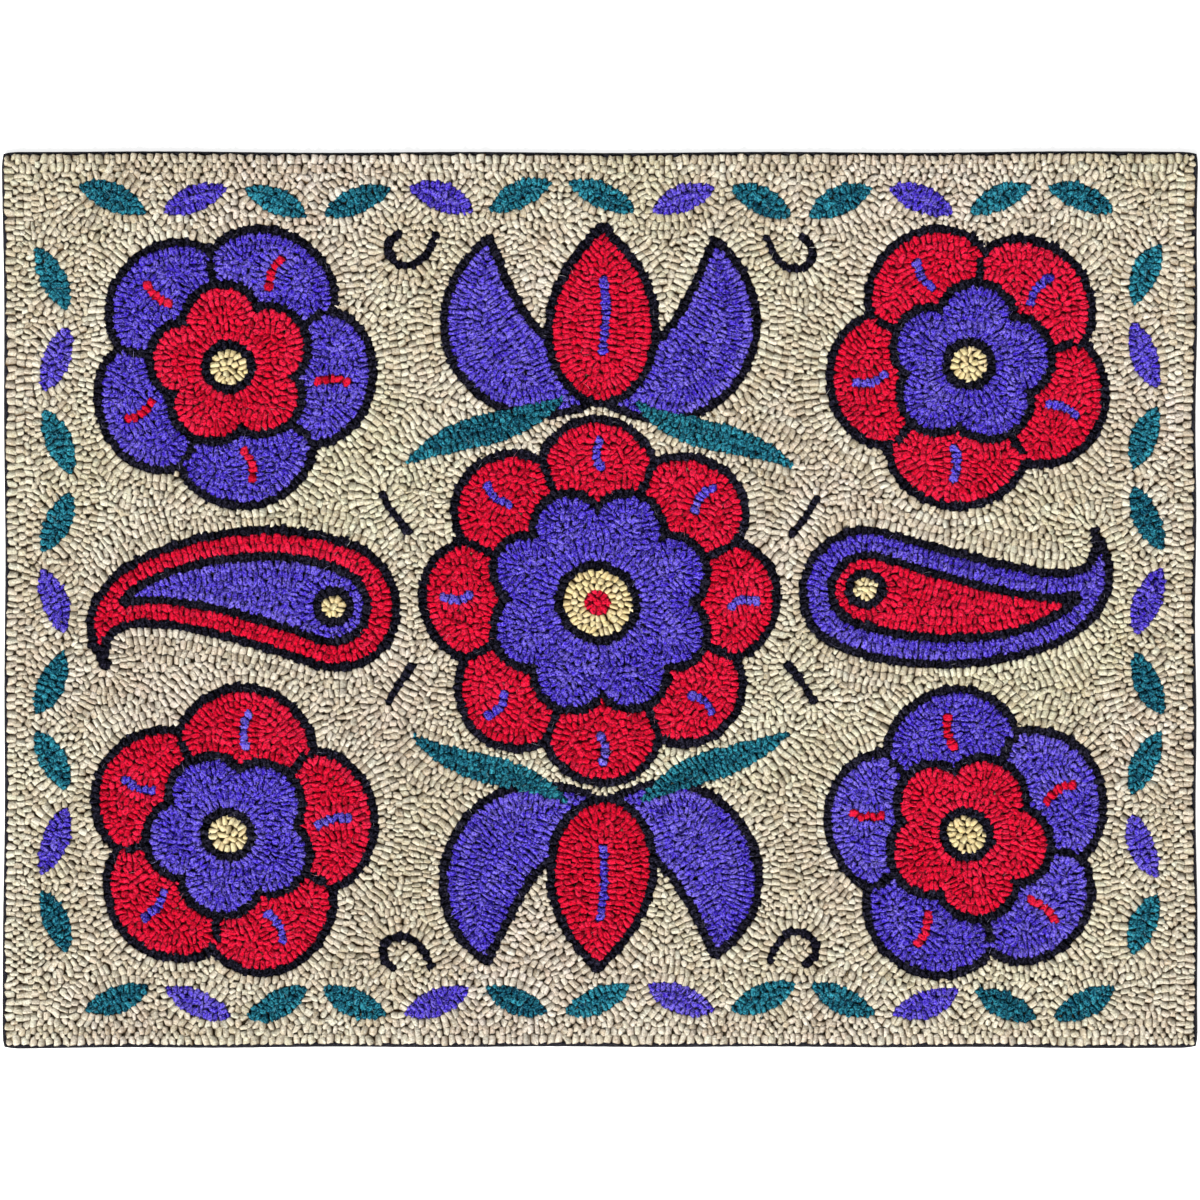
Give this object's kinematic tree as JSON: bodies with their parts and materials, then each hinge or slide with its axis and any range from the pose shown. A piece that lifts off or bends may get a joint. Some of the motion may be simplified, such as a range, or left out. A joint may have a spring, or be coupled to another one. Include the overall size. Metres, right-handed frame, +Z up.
{
  "type": "hooked rug",
  "caption": "Flat rectangular hooked rug: a low pile of wool strip loops on a foundation cloth, with a black wool binding folded round its edge.",
  "frame": {"origin": "middle of the underside, on the floor that the rug lies on", "axes": "+X along the longer side, +Y along the shorter side towards the far edge, +Z up out of the pile"},
  "size_m": [0.9194, 0.6899, 0.0083],
  "materials": {
    "hooked_wool": "matt looped wool",
    "binding_cloth": "matt black wool cloth"
  },
  "bodies": {
    "root": {"hooked_panel": "hooked_wool", "binding_left": "binding_cloth", "binding_right": "binding_cloth", "binding_far": "binding_cloth", "binding_near": "binding_cloth"}
  },
  "joints": []
}
